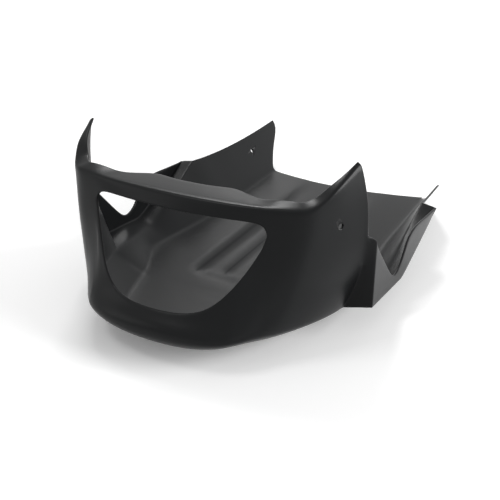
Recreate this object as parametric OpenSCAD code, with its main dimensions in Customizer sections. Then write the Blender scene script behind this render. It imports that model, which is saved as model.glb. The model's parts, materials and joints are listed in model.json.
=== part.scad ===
// Lower fairing of a motorbike: one moulded shell that wraps the underside of the engine.
// The nose points along -Y and +Z is up. Apart from the rear wings, the shell is symmetric about X = 0.
// The origin is on the centre line, on the ground, halfway along the shell.

/* [Shell] */
// Thickness of the moulded wall
wall = 3; // [2.4:0.2:3.6]

/* [Nose] */
// Height of the top rail above the ground
rail_z = 165; // [150:1:180]
// Half width of the rail at its front corners
corner_x = 143; // [135:1:150]
// How far the middle of the rail bows forward of the corners
rail_bow = 18.5; // [10:0.5:24]
// Softness of the rail's front corners
corner_soft = 14; // [8:1:20]
// Depth of the shelf behind the rail, at the centre
shelf_depth = 36; // [28:1:42]
// How far the belly of the nose stands forward of the corners
belly_out = 82; // [74:1:88]
// Height of the belly line at the centre
belly_z = 40; // [34:1:46]
// How far the underside of the nose rises to the front
chin_lift = 6.5; // [3:0.5:12]
// How far the cheeks beside the opening are hollowed
cheek_in = 8; // [0:1:12]

/* [Air opening] */
// Height of the opening's upper edge
open_top_z = 150; // [140:1:153]
// Height of the lip at the centre
lip_z = 59.5; // [54:0.5:66]
// Height of the upper end of the opening's side
open_end_top = 138; // [134:1:139]
// Height of the lower end of the opening's side
open_end_low = 123; // [116:1:126]

/* [Front wings] */
// Height of the wing tips above the ground
wing_tip_z = 200; // [188:1:210]
// How far the wings' rear edge lies behind the front corners
wing_back = 75; // [68:1:82]
// Half width across the rear edge of the wings, at the tips
wing_tip_x = 168; // [162:1:172]
// How far the wing's side bulges out between belly and tip
side_bulge = 18; // [8:0.5:22]
// Width of the inward flange at the wing tips
tip_flange = 4.5; // [3.5:0.5:9]

/* [Side pods] */
// Half width of the pods at their front face
pod_front_x = 187.5; // [182:0.5:192]
// Half width of the pods at their rear corner
pod_rear_x = 193; // [190:0.5:198]
// How far the pods' rear corner lies behind the front corners
pod_back = 297; // [285:1:310]
// Height of the pods' front face at its top
pod_top_z = 113.5; // [108:0.5:118]
// Height of the bottom of the notch in the pods' upper edge
notch_z = 39; // [36:1:46]
// How far the notch lies behind the front corners
notch_back = 149; // [143:1:155]
// Height of the hump behind the notch
hump_z = 77; // [70:1:84]
// Height of the pods' lower edge at the front face
pod_low_z = 32; // [28:1:36]
// Height of the pods' lower edge where the ramp starts
ramp_z = 23; // [18:1:26]
// How far the foot of the ramp lies behind the front corners
ramp_back = 175; // [165:1:190]

/* [Rear wings] */
// Lean of the rear wings away from upright
wing_lean = 32; // [24:1:36]
// Height of the rear wings' upper edge
rear_wing_z = 61.5; // [56:0.5:68]
// How far the long right wing's tip lies behind the front corners
rear_wing_back = 561; // [540:1:580]
// How far the short left wing's tip lies behind the front corners
left_wing_back = 394; // [370:1:430]
// Rounding of the left wing's tip
left_wing_round = 9; // [4:1:16]

/* [Floor] */
// How far the floor's rear edge lies behind the front corners, at the centre
floor_back = 465; // [440:1:480]
// How much further back the floor reaches at its corners
floor_sweep = 20; // [10:1:34]
// Half width of the floor at its rear crease
floor_x = 132; // [126:1:138]
// Half width of the floor's crease at the side pods
floor_mid_x = 148; // [144:1:152]
// Half width of the floor's crease behind the nose
floor_nose_x = 118; // [112:1:126]
// Half width of the sunk channel along the floor
channel_x = 55; // [45:1:65]
// Depth of that channel
channel_deep = 4; // [2:0.5:6]
// Half width of the raised spine in the channel
spine_x = 18; // [14:1:24]
// Height of the spine
spine_high = 1.5; // [1:0.5:3]
// Where the channel and the spine start behind the front corners
channel_start = 105; // [95:1:120]

/* [Mounting holes] */
// Diameter of the screw holes
hole_d = 7; // [5:0.5:9]
// How far the front holes lie behind the front corners
front_hole_back = 34.5; // [28:0.5:42]
// Height of the front holes
front_hole_z = 140; // [130:0.5:146]
// How far the rear holes lie behind the front corners
rear_hole_back = 453; // [420:1:480]
// Height of the rear holes
rear_hole_z = 41; // [36:0.5:46]

/* [Hidden] */

front_y = -belly_out;

// Columns of the shell's grid, from the centre line out and up
J_FLOOR = 6;
J_ROUND = J_FLOOR + 4;
J_RIDGE = J_ROUND + 4;
J_LIP = J_RIDGE + 3;
J_OPEN = J_LIP + 5;
J_RAIL = J_OPEN + 3;
J_BEND = J_RAIL + 2;
J_MAX = J_BEND + 2;

// Rows of the right half, from the rear edge to the middle of the nose
I_STEP = 8;
I_POD = I_STEP + 13;
I_NOSE = I_POD + 1;
SIDE_ROWS = 9;
CORNER_ROWS = 6;
FRONT_ROWS = 10;
I_CORNER = I_NOSE + SIDE_ROWS;
I_FRONT = I_CORNER + CORNER_ROWS;
I_MID = I_FRONT + FRONT_ROWS;
I_MAX = 2 * I_MID;
I_OPEN = I_FRONT + 1;

function lerp(a, b, t) = a + (b - a) * t;
function clamp01(t) = max(0, min(1, t));
function ease(t) = let (u = clamp01(t)) u * u * (3 - 2 * u);
function bez(a, b, c, t) = a * (1 - t) * (1 - t) + b * (2 * t * (1 - t)) + c * (t * t);
function bez3(a, b, c, d, t) = lerp(bez(a, b, c, t), bez(b, c, d, t), t);
function unit(v) = v / max(norm(v), 1e-9);
function toward(from, to, d) = from + unit(to - from) * d;
function flip_x(p) = [-p[0], p[1], p[2]];
function up(p, z) = [p[0], p[1], z];

// Height through a list of [y, z] knots, eased between them
function knots(list, y, k = 0) =
    y <= list[0][0] ? list[0][1]
    : k >= len(list) - 1 ? list[k][1]
    : y <= list[k + 1][0]
        ? lerp(list[k][1], list[k + 1][1], (y - list[k][0]) / (list[k + 1][0] - list[k][0]))
    : knots(list, y, k + 1);

wing_tip_y = wing_back - 9;
bulge_fade = 1.8;

// Nose: each guide is [middle, front control, corner, side control, side end, softness]
rail_guide = [
    [0, -rail_bow], [75, -rail_bow], [corner_x, -3], [corner_x + 14, 28],
    [wing_tip_x, wing_tip_y], corner_soft
];
belly_guide = [
    [0, -belly_out], [74, -belly_out], [110, -38], [143, 22],
    [154, wing_back], 20
];
foot_guide = [
    [0, -32.5], [45, -32.5], [83, -12], [98, 25],
    [floor_nose_x - 6, wing_back], 25
];

// Underside of the nose at the wings, at the corner and in the middle: how far out it stays low,
// how much it has risen there, and how far the wall's own slope carries on below the belly line
under_out = [0.35, 0.3, 0.6];
under_rise = [0.3, 0.3, 0];
under_tuck = [4, 12, 16];
function under(list, s) = s < 0.5 ? lerp(list[0], list[1], 2 * s) : lerp(list[1], list[2], ease(2 * s - 1));

function guide(g, part, t) =
    let (
        front_end = toward(g[2], g[1], g[5]),
        side_end = toward(g[2], g[3], g[5])
    )
    part == 0 ? bez(g[4], g[3], side_end, t)
    : part == 1 ? bez(side_end, g[2], front_end, t)
    : bez(front_end, g[1], g[0], t);

function row_part(i) = i < I_CORNER ? 0 : i < I_FRONT ? 1 : 2;
function row_t(i) =
    i < I_CORNER ? pow((i - I_NOSE) / SIDE_ROWS, 1.3)
    : i < I_FRONT ? (i - I_CORNER) / CORNER_ROWS
    : i == I_FRONT ? 0
    : lerp(0.15, 1, pow((i - I_OPEN) / (I_MID - I_OPEN), 1.25));
function on_guide(g, i) = guide(g, row_part(i), row_t(i));

// Share of the way along the nose: 0 at the wing's rear edge, 1 at the middle
function share(i) = (i - I_NOSE) / (I_MID - I_NOSE);
function open_share(i) = clamp01((i - I_OPEN) / (I_MID - I_OPEN));
function side_share(i) = clamp01((i - I_NOSE) / (I_OPEN - I_NOSE));
function cheek_share(i) = i < I_OPEN ? ease((i - I_CORNER) / (I_OPEN - I_CORNER)) : 1 - open_share(i);

function rail_height(y) = rail_z + (wing_tip_z - rail_z) * pow(clamp01(y / wing_tip_y), 1.15);

function floor_lift(y) = chin_lift * pow(clamp01((wing_back - y) / 105), 1.6);

function belly_height(i) = lerp(24, belly_z, ease(1.7 * share(i)));

// A point of the nose's outer wall at height z
function wall_at(i, z) =
    let (
        low = on_guide(belly_guide, i),
        high = on_guide(rail_guide, i),
        z0 = belly_height(i),
        z1 = rail_height(high[1]),
        w = (z - z0) / (z1 - z0),
        bulge = side_bulge * pow(1 - side_share(i), bulge_fade) * 4 * w * (1 - w),
        hollow = cheek_in * cheek_share(i) * 4 * w * (1 - w),
        p = lerp(low, high, w)
    )
    [p[0] + bulge - 0.7 * hollow, p[1] + hollow, z];

function lip_height(i) =
    i >= I_OPEN ? lip_z + (open_end_low - lip_z) * pow(1 - open_share(i), 2.8)
    : lerp(60, open_end_low, ease(side_share(i)));
function open_height(i) =
    i >= I_OPEN ? open_top_z - (open_top_z - open_end_top) * pow(1 - open_share(i), 10)
    : lerp(pod_top_z + 5, open_end_top, ease(side_share(i)));

// Inner edge of the shelf behind the rail, and of the flange inside the front wings
function shelf_edge_y(x) =
    shelf_depth - rail_bow + 6 * exp(-pow((x - 46) / 14, 2)) - 10 * ease((x - 50) / 45);
function shelf_point(i) =
    let (
        p = on_guide(rail_guide, i),
        part = row_part(i),
        t = row_t(i),
        wing_t = part == 0 ? t : 1,
        inward = [-lerp(tip_flange, 15, wing_t), lerp(0, 11.5, pow(wing_t, 1.5))],
        front_x = p[0] * 0.92,
        front = [front_x, shelf_edge_y(front_x)],
        q = part == 0 ? p + inward : part == 2 ? front : lerp(p + inward, front, ease(t)),
        rise = part == 0 ? 5.5 * t * t : part == 1 ? 5.5 : 5.5 * ease((front_x - 80) / 38)
    )
    [q[0], q[1], rail_height(p[1]) + rise];

function nose_point(i, j) =
    let (
        foot2 = on_guide(foot_guide, i),
        foot = up(foot2, floor_lift(foot2[1])),
        belly = wall_at(i, belly_height(i)),
        s = share(i),
        out = lerp(foot, belly, under(under_out, s)),
        chin = up(out, lerp(foot[2], belly[2], under(under_rise, s))),
        tuck = wall_at(i, belly[2] - under(under_tuck, s)),
        high = on_guide(rail_guide, i),
        rail = up(high, rail_height(high[1]) - (i == I_NOSE ? 2 : 0)),
        shelf = shelf_point(i),
        bend = 3.5
    )
    j <= J_FLOOR ? let (f = floor_column(j) , p = lerp([0, wing_back], foot2, f)) up(p, floor_lift(p[1]))
    : j <= J_RIDGE ? bez3(foot, chin, tuck, belly, (j - J_FLOOR) / (J_RIDGE - J_FLOOR))
    : j <= J_LIP ? wall_at(i, lerp(belly_height(i), lip_height(i), (j - J_RIDGE) / (J_LIP - J_RIDGE)))
    : j <= J_OPEN ? wall_at(i, lerp(lip_height(i), open_height(i), (j - J_LIP) / (J_OPEN - J_LIP)))
    : j <= J_RAIL ? wall_at(i, lerp(open_height(i), rail[2] - bend, (j - J_OPEN) / (J_RAIL - J_OPEN)))
    : j <= J_BEND ? bez(wall_at(i, rail[2] - bend), rail, toward(rail, shelf, bend), (j - J_RAIL) / (J_BEND - J_RAIL))
    : lerp(toward(rail, shelf, bend), shelf, (j - J_BEND) / (J_MAX - J_BEND));

// Floor columns as shares of the half width at the pods
column_x = [0, spine_x, spine_x + 2, channel_x - 5, channel_x, 92, 126];
function floor_column(j) = column_x[j] / column_x[J_FLOOR];

// Pods and rear wings, for a station y
function crease_x(y) = lerp(floor_mid_x, floor_x, ease((y - wing_back) / 230))
    - (floor_mid_x - floor_nose_x) * (1 - ease((y - wing_back) / 70));
function foot_x(y) = min(crease_x(y) - 6, lerp(126, floor_x - 8, ease((y - wing_back) / 230)));
function ridge_point(y) =
    let (
        f = ease((y - wing_back) / (ramp_back - wing_back)),
        g = clamp01((y - ramp_back) / (pod_back - ramp_back)),
        foot = [lerp(154, 166, f), lerp(24, 15, f)]
    )
    [lerp(foot[0], 174, g), y, lerp(foot[1], 69.5, g)];
function low_edge(y) =
    let (g = (y - ramp_back) / (pod_back - ramp_back))
    [lerp(pod_front_x, pod_rear_x, (y - wing_back) / (pod_back - wing_back)), y,
     g < 0 ? lerp(pod_low_z, ramp_z, clamp01((y - wing_back) / (ramp_back - wing_back)))
           : lerp(ramp_z, 66.5, g)];
top_knots = [
    [wing_back, pod_top_z], [wing_back + 4, pod_top_z - 9], [notch_back - 15, notch_z + 6],
    [notch_back - 6, notch_z + 1], [notch_back, notch_z], [notch_back + 12, notch_z + 2],
    [notch_back + 24, notch_z + 13], [notch_back + 37, hump_z - 6],
    [notch_back + 46, hump_z - 1], [notch_back + 60, hump_z], [pod_back - 50, hump_z - 5], [pod_back, 68]
];
function top_edge(y) = up(low_edge(y), knots(top_knots, y));

function channel(x, y) =
    let (start = ease((y - channel_start) / 10))
    start * (x <= spine_x ? spine_high - channel_deep
        : x <= channel_x - 4 ? -channel_deep : 0);

dip_back = rear_wing_back - 89;
function wing_top(y) = rear_wing_z + 8 * pow(clamp01((dip_back - y) / (dip_back - pod_back)), 2.2)
    + 1.4 * pow(clamp01((y - dip_back) / (rear_wing_back - dip_back)), 2);

function pan_point(y, j) =
    let (
        foot = [foot_x(y), y, 0],
        crease = [crease_x(y), y, 0],
        lean = tan(wing_lean),
        top = wing_top(y),
        ridge = y <= pod_back ? ridge_point(y) : [floor_x + lean * top, y, top],
        k = lerp(0.5, 0.12, ease((y - wing_back) / 120)),
        round_end = lerp(crease, ridge, k),
        low = low_edge(y),
        high = top_edge(y)
    )
    j <= J_FLOOR ? let (x = column_x[j] * foot[0] / 126) [x, y, channel(column_x[j], y)]
    : j <= J_ROUND ? bez(foot, crease, round_end, (j - J_FLOOR) / (J_ROUND - J_FLOOR))
    : j <= J_RIDGE ? lerp(round_end, ridge, pow((j - J_ROUND) / (J_RIDGE - J_ROUND), 0.8))
    : j <= J_LIP ? lerp(ridge, low, (j - J_RIDGE) / (J_LIP - J_RIDGE))
    : lerp(low, high, (j - J_LIP) / (J_OPEN - J_LIP));

pod_rows = concat(
    [wing_back, wing_back + 5, wing_back + 19],
    [for (d = [-41, -27, -13, -4, 5, 16, 26, 40, 63]) notch_back + d],
    [pod_back - 47, pod_back]
);

// Rear edge of the floor and of the wings
root_z = 15;
root_back = floor_back + floor_sweep + 9;
nose_z = rear_wing_z - 9.5;
function rear_y(x, z) =
    z < 0.6 ? floor_back + floor_sweep * pow(clamp01(x / floor_x), 2.5)
    : z < root_z ? lerp(floor_back + floor_sweep, root_back, z / root_z)
    : z < nose_z ? lerp(root_back, rear_wing_back, (z - root_z) / (nose_z - root_z))
    : rear_wing_back - 0.03 * pow(z - nose_z, 2);

function wing_point(i, j) =
    let (
        f = i / I_STEP,
        guess = pan_point(floor_back, j),
        end_y = rear_y(guess[0], guess[2]),
        y = lerp(end_y, pod_back, f)
    )
    pan_point(y, j);

function shell_point(i, j) =
    i < I_STEP ? wing_point(i, min(j, J_RIDGE))
    : i <= I_POD ? pan_point(pod_rows[I_POD - i], min(j, J_OPEN))
    : nose_point(i, j);

half = [for (i = [0:I_MID]) [for (j = [0:J_MAX]) shell_point(i, j)]];
mid_y = (front_y + max([for (row = half, p = row) p[1]])) / 2;

// Which cells of the grid are wall, and which are open
function half_row(i) = i < I_MID ? i : I_MAX - 1 - i;
function is_wall(i, j) =
    let (r = half_row(i))
    i < 0 || i >= I_MAX || j < 0 || j >= J_MAX ? false
    : r < I_STEP ? j < J_RIDGE
    : r <= I_POD ? j < J_OPEN
    : r >= I_OPEN && j >= J_LIP && j < J_OPEN ? false
    : true;
function is_flat(i, j) = half_row(i) == I_POD && j < J_RIDGE;

function cell_normal(i, j) =
    unit(cross(half[i + 1][j + 1] - half[i][j], half[i][j + 1] - half[i + 1][j]));

function rows_at(i, j) =
    (i == I_POD || i == I_NOSE) && j <= J_RIDGE ? [I_POD - 1, I_POD, I_NOSE] : [i - 1, i];
function normals_at(i, j) =
    let (own = [for (r = rows_at(i, j), c = [j - 1, j])
        if (r >= 0 && r < I_MID && is_wall(r, c) && !is_flat(r, c)) cell_normal(r, c)])
    i == I_MID || j == 0 ? concat(own, [for (n = own) flip_x(n)]) : own;

// Step from the outer to the inner skin that sets every adjoining face back by the wall
function solve3(m, v) =
    let (
        c0 = cross(m[1], m[2]),
        c1 = cross(m[2], m[0]),
        c2 = cross(m[0], m[1])
    )
    (c0 * v[0] + c1 * v[1] + c2 * v[2]) / (m[0] * c0);
function sum(list, k = 0) = k >= len(list) - 1 ? list[k] : list[k] + sum(list, k + 1);
function inset(i, j) =
    let (ns = normals_at(i, j))
    len(ns) == 0 ? [0, 0, 0]
    : let (
        damp = 0.02,
        m = [for (a = [0:2]) [for (b = [0:2]) sum([for (n = ns) n[a] * n[b]]) + (a == b ? damp : 0)]],
        v = sum(ns)
    )
    wall * solve3(m, v);

half_in = [for (i = [0:I_MID]) [for (j = [0:J_MAX]) half[i][j] + inset(i, j)]];

WIDE = J_MAX + 1;
COUNT = (I_MAX + 1) * WIDE;
function full(rows) = [for (i = [0:I_MAX], j = [0:J_MAX])
    i <= I_MID ? rows[i][j] : flip_x(rows[I_MAX - i][j])];

function id(i, j) =
    let (r = min(i, I_MAX - i))
    j == 0 ? min(r, I_POD) * WIDE
    : r == I_NOSE && j <= J_RIDGE ? (i == r ? I_POD : I_MAX - I_POD) * WIDE + j
    : i * WIDE + j;

function face(a, b, c) = a == b || b == c || a == c ? [] : [[a, b, c]];
function quad(a, b, c, d) = concat(face(a, b, c), face(a, c, d));
function rim(a, b) = quad(a, a + COUNT, b + COUNT, b);

shell_faces = [
    for (i = [0:I_MAX - 1], j = [0:J_MAX - 1])
        if (is_wall(i, j) && !is_flat(i, j))
            let (a = id(i, j), b = id(i + 1, j), c = id(i + 1, j + 1), d = id(i, j + 1))
            each concat(
                quad(a, b, c, d),
                quad(a + COUNT, d + COUNT, c + COUNT, b + COUNT),
                is_wall(i - 1, j) ? [] : rim(d, a),
                is_wall(i + 1, j) ? [] : rim(b, c),
                is_wall(i, j + 1) ? [] : rim(c, d),
                j == 0 || is_wall(i, j - 1) ? [] : rim(a, b)
            )
];

module shell() {
    polyhedron(points = concat(full(half), full(half_in)), faces = shell_faces, convexity = 12);
}

// Screw hole through the wall at a point, along the wall's own normal
module hole(at, normal) {
    translate(at) rotate([0, acos(normal[2]), atan2(normal[1], normal[0])])
        cylinder(d = hole_d, h = 24, center = true, $fn = 48);
}

// Space behind the short left wing, seen from the side
module left_wing_end() {
    tip = [left_wing_back, wing_top(left_wing_back)];
    foot = [floor_back + floor_sweep - 2, 0];
    start = tip - [left_wing_round, 0];
    end = toward(tip, foot, left_wing_round);
    corner = [for (t = [0:0.125:1]) bez(start, tip, end, t)];
    far = [rear_wing_back + 20, 120];
    translate([floor_x - 8, 0, 0]) rotate([90, 0, 90]) linear_extrude(80)
        polygon(concat([[start[0], far[1]]], corner, [foot, foot - [0, 20], [far[0], -20], far]));
}

// Row of the front wing whose wall is at station y, at height z
function row_at(y, z, a = I_NOSE, b = I_CORNER, n = 18) =
    let (m = (a + b) / 2)
    n == 0 ? m : wall_at(m, z)[1] > y ? row_at(y, z, m, b, n - 1) : row_at(y, z, a, m, n - 1);
front_hole_row = row_at(front_hole_back, front_hole_z);
front_hole_out = unit(cross(
    wall_at(front_hole_row, front_hole_z + hole_d / 2) - wall_at(front_hole_row, front_hole_z - hole_d / 2),
    wall_at(front_hole_row + 0.3, front_hole_z) - wall_at(front_hole_row - 0.3, front_hole_z)
));
front_hole_at = wall_at(front_hole_row, front_hole_z) - front_hole_out * wall / 2;
rear_hole_out = [cos(wing_lean), 0, -sin(wing_lean)];
rear_hole_at = [floor_x + tan(wing_lean) * rear_hole_z, rear_hole_back, rear_hole_z] - rear_hole_out * wall / 2;

module fairing() {
    color("#2b2c2e") translate([0, -mid_y, channel_deep]) difference() {
        shell();
        for (side = [1, -1]) {
            hole([side * front_hole_at[0], front_hole_at[1], front_hole_at[2]],
                 [side * front_hole_out[0], front_hole_out[1], front_hole_out[2]]);
        }
        hole(flip_x(rear_hole_at), flip_x(rear_hole_out));
        left_wing_end();
    }
}

fairing();
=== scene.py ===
"""Studio scene of a motorbike's lower fairing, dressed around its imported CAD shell."""

import json
import logging
import math
from dataclasses import dataclass, field

import bmesh
import bpy
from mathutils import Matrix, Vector

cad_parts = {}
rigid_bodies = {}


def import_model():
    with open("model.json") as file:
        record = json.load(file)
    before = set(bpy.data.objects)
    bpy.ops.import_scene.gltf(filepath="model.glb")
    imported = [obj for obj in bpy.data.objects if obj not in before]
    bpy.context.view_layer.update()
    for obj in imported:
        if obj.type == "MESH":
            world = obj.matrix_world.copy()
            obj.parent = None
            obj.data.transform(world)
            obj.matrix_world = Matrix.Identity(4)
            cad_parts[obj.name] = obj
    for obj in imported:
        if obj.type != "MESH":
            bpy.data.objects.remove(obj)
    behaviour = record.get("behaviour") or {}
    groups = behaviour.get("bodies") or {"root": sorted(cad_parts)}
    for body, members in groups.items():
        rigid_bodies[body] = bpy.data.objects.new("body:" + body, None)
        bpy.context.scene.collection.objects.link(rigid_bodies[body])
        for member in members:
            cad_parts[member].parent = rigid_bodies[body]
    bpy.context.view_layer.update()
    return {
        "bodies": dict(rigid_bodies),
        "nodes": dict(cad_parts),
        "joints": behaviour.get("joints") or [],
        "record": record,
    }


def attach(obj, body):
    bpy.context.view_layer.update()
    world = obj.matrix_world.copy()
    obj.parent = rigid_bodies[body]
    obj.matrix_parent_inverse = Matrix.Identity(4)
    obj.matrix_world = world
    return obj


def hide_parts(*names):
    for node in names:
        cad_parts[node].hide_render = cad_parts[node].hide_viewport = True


LOG = logging.getLogger("lower_fairing")
MM = 0.001
WHITE = (1.0, 1.0, 1.0, 1.0)
# The sRGB curve: where its straight toe ends, the toe's slope, and the rest's offset and power.
SRGB_KNEE, SRGB_TOE, SRGB_OFFSET, SRGB_POWER = 0.04045, 12.92, 0.055, 2.4
# The colour sockets of a Mix node, whose names repeat: two inputs and the output.
MIX_A, MIX_B, MIX_RESULT = 6, 7, 2
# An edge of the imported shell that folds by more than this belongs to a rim.
RIM_DEG = 55.0


def linear(hex_colour: str) -> tuple[float, float, float, float]:
    """Turn an sRGB hex colour into linear light.

    Args:
        hex_colour: Six hex digits, such as "1c1d1f".

    Returns:
        Red, green, blue and alpha, each from 0 to 1.
    """
    values = [int(hex_colour[k : k + 2], 16) / 255 for k in (0, 2, 4)]
    red, green, blue = (
        v / SRGB_TOE if v <= SRGB_KNEE else ((v + SRGB_OFFSET) / (1 + SRGB_OFFSET)) ** SRGB_POWER
        for v in values
    )
    return (red, green, blue, 1.0)


def ease(share: float) -> float:
    """Smooth a share of a run, from 0 to 1, at both ends."""
    share = min(1.0, max(0.0, share))
    return share * share * (3 - 2 * share)


def fold_deg(edge: bmesh.types.BMEdge) -> float:
    """Give the angle in degrees by which the skin folds at an edge between two faces."""
    return math.degrees(edge.calc_face_angle())


def add_node(
    tree: bpy.types.NodeTree, kind: str, inputs: dict | None = None, **settings: object
) -> bpy.types.Node:
    """Add one node with its settings, input values and links.

    Args:
        tree: The node tree that takes the node.
        kind: The node's type name.
        inputs: Values or output sockets by input name or index.
        settings: Properties to set on the node.

    Returns:
        The new node.
    """
    node = tree.nodes.new(kind)
    for name, value in settings.items():
        setattr(node, name, value)
    for name, value in (inputs or {}).items():
        socket = node.inputs[name]
        if isinstance(value, bpy.types.NodeSocket):
            tree.links.new(value, socket)
        else:
            socket.default_value = value
    return node


def seen_ray(tree: bpy.types.NodeTree) -> bpy.types.NodeSocket:
    """Add nodes that tell a camera, glossy or transmission ray from the rest.

    Args:
        tree: The node tree that takes the nodes.

    Returns:
        The output that is 1 for such a ray and 0 for any other.
    """
    path = add_node(tree, "ShaderNodeLightPath")
    seen = path.outputs["Is Camera Ray"]
    for ray in ("Is Glossy Ray", "Is Transmission Ray"):
        either = add_node(tree, "ShaderNodeMath", {0: seen, 1: path.outputs[ray]}, operation="MAXIMUM")
        seen = either.outputs[0]
    return seen


@dataclass(frozen=True)
class SatinAbs:
    """Satin black ABS, injection moulded in a fine-grained tool.

    The tool's grain breaks up the highlights, and the flat black lets them show.
    The real grain is a few tenths of a millimetre across, and it is drawn coarser
    so that it shows. The slow flow marks change the black and the shine a little.
    """

    name: str = "satin_black_abs"
    colour: str = "0e0f10"
    rubbed: str = "141516"
    ior: float = 1.5
    gloss: float = 0.13
    roughness: float = 0.3
    roughness_spread: float = 0.04
    grain_mm: float = 0.9
    grain_detail: float = 2.0
    grain_depth_mm: float = 0.05
    grain_strength: float = 0.6
    flow_mm: float = 60.0
    flow_detail: float = 3.0

    def build(self) -> bpy.types.Material:
        """Make the material's nodes.

        Returns:
            The finished material.
        """
        material = bpy.data.materials.new(self.name)
        material.use_nodes = True
        tree = material.node_tree
        tree.nodes.clear()
        place = add_node(tree, "ShaderNodeTexCoord").outputs["Object"]
        flow = add_node(
            tree,
            "ShaderNodeTexNoise",
            {"Vector": place, "Scale": 1 / (self.flow_mm * MM), "Detail": self.flow_detail},
        ).outputs["Fac"]
        grain = add_node(
            tree,
            "ShaderNodeTexNoise",
            {"Vector": place, "Scale": 1 / (self.grain_mm * MM), "Detail": self.grain_detail},
        ).outputs["Fac"]
        tint = add_node(
            tree,
            "ShaderNodeMix",
            {"Factor": flow, MIX_A: linear(self.colour), MIX_B: linear(self.rubbed)},
            data_type="RGBA",
        )
        rough = add_node(
            tree,
            "ShaderNodeMapRange",
            {
                "Value": flow,
                "To Min": self.roughness - self.roughness_spread,
                "To Max": self.roughness + self.roughness_spread,
            },
        )
        bump = add_node(
            tree,
            "ShaderNodeBump",
            {"Height": grain, "Distance": self.grain_depth_mm * MM, "Strength": self.grain_strength},
        )
        shader = add_node(
            tree,
            "ShaderNodeBsdfPrincipled",
            {
                "Base Color": tint.outputs[MIX_RESULT],
                "Roughness": rough.outputs["Result"],
                "IOR": self.ior,
                "Specular IOR Level": self.gloss,
                "Normal": bump.outputs["Normal"],
            },
        )
        add_node(tree, "ShaderNodeOutputMaterial", {"Surface": shader.outputs["BSDF"]})
        return material


@dataclass(frozen=True)
class MattPaper:
    """Matt white paper, rolled out as the studio's ground.

    It has no shine of its own. Where the camera or a reflection sees it, it glows
    more with distance, so that its far edge runs into the white surroundings and
    the shell's shadow stays.
    """

    name: str = "matt_white_paper"
    colour: str = "ffffff"
    near_m: float = 0.8
    far_m: float = 3.5
    near_lift: float = 0.12
    far_lift: float = 0.7

    def build(self) -> bpy.types.Material:
        """Make the material's nodes.

        Returns:
            The finished material.
        """
        material = bpy.data.materials.new(self.name)
        material.use_nodes = True
        tree = material.node_tree
        tree.nodes.clear()
        place = add_node(tree, "ShaderNodeTexCoord").outputs["Object"]
        away = add_node(tree, "ShaderNodeVectorMath", {0: place}, operation="LENGTH").outputs["Value"]
        lift = add_node(
            tree,
            "ShaderNodeMapRange",
            {
                "Value": away,
                "From Min": self.near_m,
                "From Max": self.far_m,
                "To Min": self.near_lift,
                "To Max": self.far_lift,
            },
        ).outputs["Result"]
        glow = add_node(tree, "ShaderNodeMath", {0: seen_ray(tree), 1: lift}, operation="MULTIPLY")
        shader = add_node(
            tree,
            "ShaderNodeBsdfPrincipled",
            {
                "Base Color": linear(self.colour),
                "Roughness": 1.0,
                "Specular IOR Level": 0.0,
                "Emission Color": WHITE,
                "Emission Strength": glow.outputs[0],
            },
        )
        add_node(tree, "ShaderNodeOutputMaterial", {"Surface": shader.outputs["BSDF"]})
        return material


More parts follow.
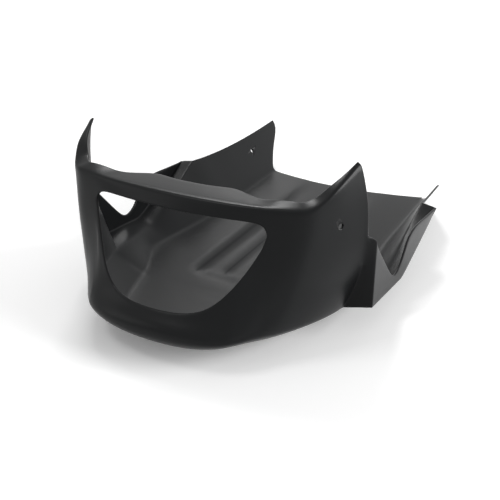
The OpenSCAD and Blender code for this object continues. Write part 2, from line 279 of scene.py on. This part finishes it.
@dataclass(frozen=True)
class FloorChannel:
    """The stepped channel that runs along the floor of the shell.

    Each section gives half widths and depths in mm, outwards from the middle. The
    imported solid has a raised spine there. The photograph shows a second step down
    instead, and shows the channel run out before the rear edge. On the wall's
    upper face each corner of a section sits further out by its wall_shift, or
    further in where that is below zero.
    """

    packed: tuple[tuple[float, float], ...] = (
        (0, -2.5), (18, -2.5), (20, -4), (50, -4), (55, 0), (200, 0),
    )
    shown: tuple[tuple[float, float], ...] = (
        (0, -4), (23, -4), (24.5, -2.8), (57, -2.8), (60.5, 0), (200, 0),
    )
    wall_shift: tuple[float, ...] = (0, 1, 1, -1, -1, 0)
    floor_top_mm: float = 10.0
    margin_mm: float = 6.0
    least_level: float = 0.5
    start_mm: float = -133.0
    start_run_mm: float = 10.0
    fade_mm: float = 70.0
    fade_end_mm: float = 150.0
    step_deg: float = 20.0
    step_reach_mm: float = 62.0
    step_crease: float = 0.8

    @staticmethod
    def between(knots: list[tuple[float, float]], at: float) -> float:
        """Read a broken line at one place.

        Args:
            knots: The line's corners, each a place and a height, in rising order of place.
            at: The place to read.

        Returns:
            The height there, which past the end is the last corner's.
        """
        for (x0, y0), (x1, y1) in zip(knots, knots[1:]):
            if at <= x1:
                return y0 + (y1 - y0) * (at - x0) / (x1 - x0)
        return knots[-1][1]

    def holds(self, vert: bmesh.types.BMVert) -> bool:
        """Tell whether a point lies on the level floor, in the channel or close beside it.

        Args:
            vert: A point of the shell's welded mesh, with its normal up to date.

        Returns:
            True where the channel is recut.
        """
        x, y, z = (c / MM for c in vert.co)
        near = abs(x) <= self.packed[-2][0] + self.margin_mm and y >= self.start_mm
        return near and z <= self.floor_top_mm and abs(vert.normal.z) >= self.least_level

    def steps_at(self, edge: bmesh.types.BMEdge) -> bool:
        """Tell whether an edge belongs to one of the channel's steps.

        Args:
            edge: An edge of the recut mesh, between two faces.

        Returns:
            True for an edge in the channel that folds like a step.
        """
        top, reach = self.floor_top_mm * MM, self.step_reach_mm * MM
        low = all(v.co.z < top and abs(v.co.x) < reach for v in edge.verts)
        return low and fold_deg(edge) > self.step_deg

    def recut(self, mesh: bmesh.types.BMesh) -> None:
        """Move the floor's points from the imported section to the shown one.

        Args:
            mesh: The shell's welded mesh, in metres.
        """
        mesh.normal_update()
        for vert in mesh.verts:
            if not self.holds(vert):
                continue
            x, y, z = (c / MM for c in vert.co)
            shift = self.wall_shift if vert.normal.z > 0 else (0,) * len(self.wall_shift)
            old = [(k[0] + d, k[1]) for k, d in zip(self.packed, shift)]
            across = [(k[0] + d, n[0] + d) for k, n, d in zip(self.packed, self.shown, shift)]
            deep = [(k[0] + d, n[1]) for k, n, d in zip(self.packed, self.shown, shift)]
            start = ease((y - self.start_mm) / self.start_run_mm)
            fade = 1 - ease((y - self.fade_mm) / (self.fade_end_mm - self.fade_mm))
            side = abs(x)
            lift = start * (fade * self.between(deep, side) - self.between(old, side))
            vert.co = Vector((math.copysign(self.between(across, side), x), y, z + lift)) * MM


@dataclass(frozen=True)
class LipShoulder:
    """The shoulder under the air opening, where the photograph shows the skin lean back to the lip.

    The skin leans back and drops from foot_mm up to lip_mm, and comes back to its
    place over above_mm. A crown pushes it forwards round crown_at_mm, and the rim's
    outer edge drops while its inner edge rises. All of it fades out from flat_mm to
    side_mm on each side of the middle.
    """

    back_mm: float = 3.0
    drop_mm: float = 3.5
    crown_mm: float = 2.5
    crown_at_mm: float = 49.0
    crown_reach_mm: float = 6.5
    rim_outer_mm: float = -1.8
    rim_inner_mm: float = 0.8
    foot_mm: float = 40.0
    lip_mm: float = 61.0
    above_mm: float = 28.0
    flat_mm: float = 55.0
    side_mm: float = 105.0
    nose_mm: float = -225.0

    def lean(self, mesh: bmesh.types.BMesh) -> None:
        """Lean the skin back towards the lip.

        Args:
            mesh: The shell's welded mesh, in metres.
        """
        mesh.normal_update()
        tilt = {}
        for edge in mesh.edges:
            if len(edge.link_faces) == 2 and fold_deg(edge) > RIM_DEG:
                for vert in edge.verts:
                    tilt[vert] = self.rim_outer_mm if vert.normal.y < 0 else self.rim_inner_mm
        for vert in mesh.verts:
            x, y, z = (c / MM for c in vert.co)
            if y > self.nose_mm:
                continue
            rise = ease((z - self.foot_mm) / (self.lip_mm - self.foot_mm))
            share = rise * (1 - ease((z - self.lip_mm) / self.above_mm))
            crown = self.crown_mm * math.exp(-(((z - self.crown_at_mm) / self.crown_reach_mm) ** 2))
            middle = 1 - ease((abs(x) - self.flat_mm) / (self.side_mm - self.flat_mm))
            rim = tilt.get(vert, 0.0) * share
            vert.co += Vector((0, self.back_mm * share - crown, rim - self.drop_mm * share)) * middle * MM


@dataclass(frozen=True)
class Swell:
    """A soft push on the skin round one point, the same on the left and the right.

    Distances are in mm. The point and the push are given for the +X side, and a
    point that would take less than the least share of the push stays where it is.
    """

    at: tuple[float, float, float]
    push: tuple[float, float, float]
    reach: float
    least: float = 0.01

    def press(self, mesh: bmesh.types.BMesh) -> None:
        """Push the mesh's points round both places.

        Args:
            mesh: The shell's welded mesh, in metres.
        """
        for vert in mesh.verts:
            side = math.copysign(1.0, vert.co.x)
            middle = Vector((self.at[0] * side, self.at[1], self.at[2])) * MM
            share = math.exp(-((vert.co - middle).length / (self.reach * MM)) ** 2)
            if share > self.least:
                vert.co += Vector((self.push[0] * side, self.push[1], self.push[2])) * share * MM


@dataclass
class MouldedShell:
    """The fairing's shell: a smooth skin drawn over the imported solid, with rounded rims.

    The two swells fill out the front wings' edge and flatten a knob at the shelf's ends.
    """

    finish: SatinAbs = field(default_factory=SatinAbs)
    channel: FloorChannel = field(default_factory=FloorChannel)
    lip: LipShoulder = field(default_factory=LipShoulder)
    swells: tuple[Swell, ...] = (
        Swell((158.0, -206.0, 186.0), (2.0, -3.9, 2.1), 24.0),
        Swell((134.0, -217.0, 178.0), (2.4, -1.0, -3.0), 12.0),
    )
    node: str = "fairing"
    weld_mm: float = 0.01
    quad_fold_deg: float = 30.0
    quad_skew_deg: float = 60.0
    rim_round_mm: float = 1.4
    rim_steps: int = 3
    short_mm: float = 0.6
    smooth_levels: int = 1
    crease_deg: float = 45.0

    def build(self, frame: dict) -> bpy.types.Object:
        """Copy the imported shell, round its rims and smooth it.


        Returns:
            The finished skin, which stands for the CAD node.
        """
        source = frame["nodes"][self.node]
        bpy.ops.object.select_all(action="DESELECT")
        source.select_set(True)
        bpy.context.view_layer.objects.active = source
        bpy.ops.object.duplicate()
        skin = bpy.context.view_layer.objects.active
        skin.name = "moulded_shell"
        skin.parent = None
        for key in [k for k in skin.keys() if k.startswith("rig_")]:
            del skin[key]
        bpy.ops.object.mode_set(mode="EDIT")
        bpy.ops.mesh.select_all(action="SELECT")
        bpy.ops.mesh.remove_doubles(threshold=self.weld_mm * MM)
        bpy.ops.mesh.tris_convert_to_quads(
            face_threshold=math.radians(self.quad_fold_deg),
            shape_threshold=math.radians(self.quad_skew_deg),
        )
        bpy.ops.object.mode_set(mode="OBJECT")
        self.shape(skin)
        self.smooth(skin)
        bpy.ops.object.shade_smooth_by_angle(angle=math.radians(self.crease_deg))
        skin.data.materials.clear()
        skin.data.materials.append(self.finish.build())
        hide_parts(self.node)
        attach(skin, "root")
        LOG.info("%s: %d faces", skin.name, len(skin.data.polygons))
        return skin

    def shape(self, skin: bpy.types.Object) -> None:
        """Move the skin's points to where the photograph shows them, and mark its rims and steps.

        Args:
            skin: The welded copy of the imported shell.
        """
        mesh = bmesh.new()
        mesh.from_mesh(skin.data)
        self.channel.recut(mesh)
        self.lip.lean(mesh)
        for swell in self.swells:
            swell.press(mesh)
        mesh.normal_update()
        rounded = mesh.edges.layers.float.new("bevel_weight_edge")
        creased = mesh.edges.layers.float.new("crease_edge")
        for edge in mesh.edges:
            if len(edge.link_faces) != 2:
                continue
            if fold_deg(edge) > RIM_DEG:
                # A bevel would tangle on very short edges, such as those round the screw holes.
                edge[rounded if edge.calc_length() > self.short_mm * MM else creased] = 1.0
            elif self.channel.steps_at(edge):
                edge[creased] = self.channel.step_crease
        mesh.to_mesh(skin.data)
        mesh.free()

    def smooth(self, skin: bpy.types.Object) -> None:
        """Round the marked rims and smooth the skin between them.

        Args:
            skin: The shaped skin, which is active.
        """
        rims = skin.modifiers.new("rims", "BEVEL")
        rims.limit_method = "WEIGHT"
        rims.width = self.rim_round_mm * MM
        rims.segments = self.rim_steps
        rims.use_clamp_overlap = False
        bpy.ops.object.modifier_apply(modifier=rims.name)
        soft = skin.modifiers.new("smooth", "SUBSURF")
        soft.levels = soft.render_levels = self.smooth_levels
        bpy.ops.object.modifier_apply(modifier=soft.name)


@dataclass
class PhotoCamera:
    """The camera, at the photograph's viewing angle and distance."""

    place_mm: tuple[float, float, float] = (417.9, -892.3, 474.2)
    yaw_deg: float = 27.53
    dip_deg: float = 26.02
    lens_mm: float = 57.6
    sensor_mm: float = 36.0
    near_mm: float = 10.0

    def build(self) -> bpy.types.Object:
        """Add the camera and make it the scene's own.

        Returns:
            The camera.
        """
        turn = (math.radians(90 - self.dip_deg), 0, math.radians(self.yaw_deg))
        bpy.ops.object.camera_add(location=[c * MM for c in self.place_mm], rotation=turn)
        camera = bpy.context.object
        camera.data.lens = self.lens_mm
        camera.data.sensor_width = self.sensor_mm
        camera.data.clip_start = self.near_mm * MM
        bpy.context.scene.camera = camera
        return camera


@dataclass
class Lamp:
    """One soft square lamp, aimed at the middle of the shell. Lengths are in metres."""

    name: str
    place: tuple[float, float, float]
    watts: float
    size: float
    aim: tuple[float, float, float] = (0.0, 0.0, 0.08)

    def build(self) -> bpy.types.Object:
        """Add the lamp to the scene.

        Returns:
            The lamp.
        """
        bpy.ops.object.light_add(type="AREA", location=self.place)
        lamp = bpy.context.object
        lamp.name = self.name
        lamp.data.energy = self.watts
        lamp.data.size = self.size
        way = Vector(self.aim) - Vector(self.place)
        lamp.rotation_euler = way.to_track_quat("-Z", "Y").to_euler()
        return lamp


@dataclass
class Studio:
    """The plain pale floor, the soft lamps and the even surroundings."""

    paper: MattPaper = field(default_factory=MattPaper)
    floor_m: float = 12.0
    ambient: float = 0.4
    lamps: tuple[Lamp, ...] = (
        Lamp("right_softbox", (2.39, 0.42, 0.93), 70.0, 1.3),
        Lamp("overhead_softbox", (-0.92, 1.06, 2.15), 26.0, 0.7),
        Lamp("left_fill", (-1.7, -1.7, 1.0), 5.0, 1.2),
        Lamp("front_overhead", (-0.8, -1.0, 2.2), 7.0, 0.6),
        Lamp("rear_strip", (-1.25, 2.39, 1.35), 1.6, 0.4),
    )

    def build(self) -> None:
        """Add the floor, the lamps and the world."""
        self.roll_out_floor()
        for lamp in self.lamps:
            lamp.build()
        LOG.info("studio: %d lamps", len(self.lamps))
        self.surround()
        bpy.context.scene.view_settings.view_transform = "Standard"

    def roll_out_floor(self) -> bpy.types.Object:
        """Add the paper floor.

        Returns:
            The floor, which isn't part of the object.
        """
        bpy.ops.mesh.primitive_plane_add(size=self.floor_m)
        floor = bpy.context.object
        floor.name = "floor"
        floor.data.materials.append(self.paper.build())
        return floor

    def surround(self) -> None:
        """Add the world, white where it is seen and dimmer where it lights the shell."""
        world = bpy.data.worlds.new("surroundings")
        bpy.context.scene.world = world
        world.use_nodes = True
        tree = world.node_tree
        tree.nodes.clear()
        level = add_node(
            tree, "ShaderNodeMapRange", {"Value": seen_ray(tree), "To Min": self.ambient, "To Max": 1.0}
        ).outputs["Result"]
        back = add_node(tree, "ShaderNodeBackground", {"Color": WHITE, "Strength": level})
        add_node(tree, "ShaderNodeOutputWorld", {"Surface": back.outputs["Background"]})


def main() -> None:
    """Build the scene in order."""
    logging.basicConfig(level=logging.INFO)
    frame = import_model()
    PhotoCamera().build()
    MouldedShell().build(frame)
    Studio().build()


if __name__ == "__main__":
    main()
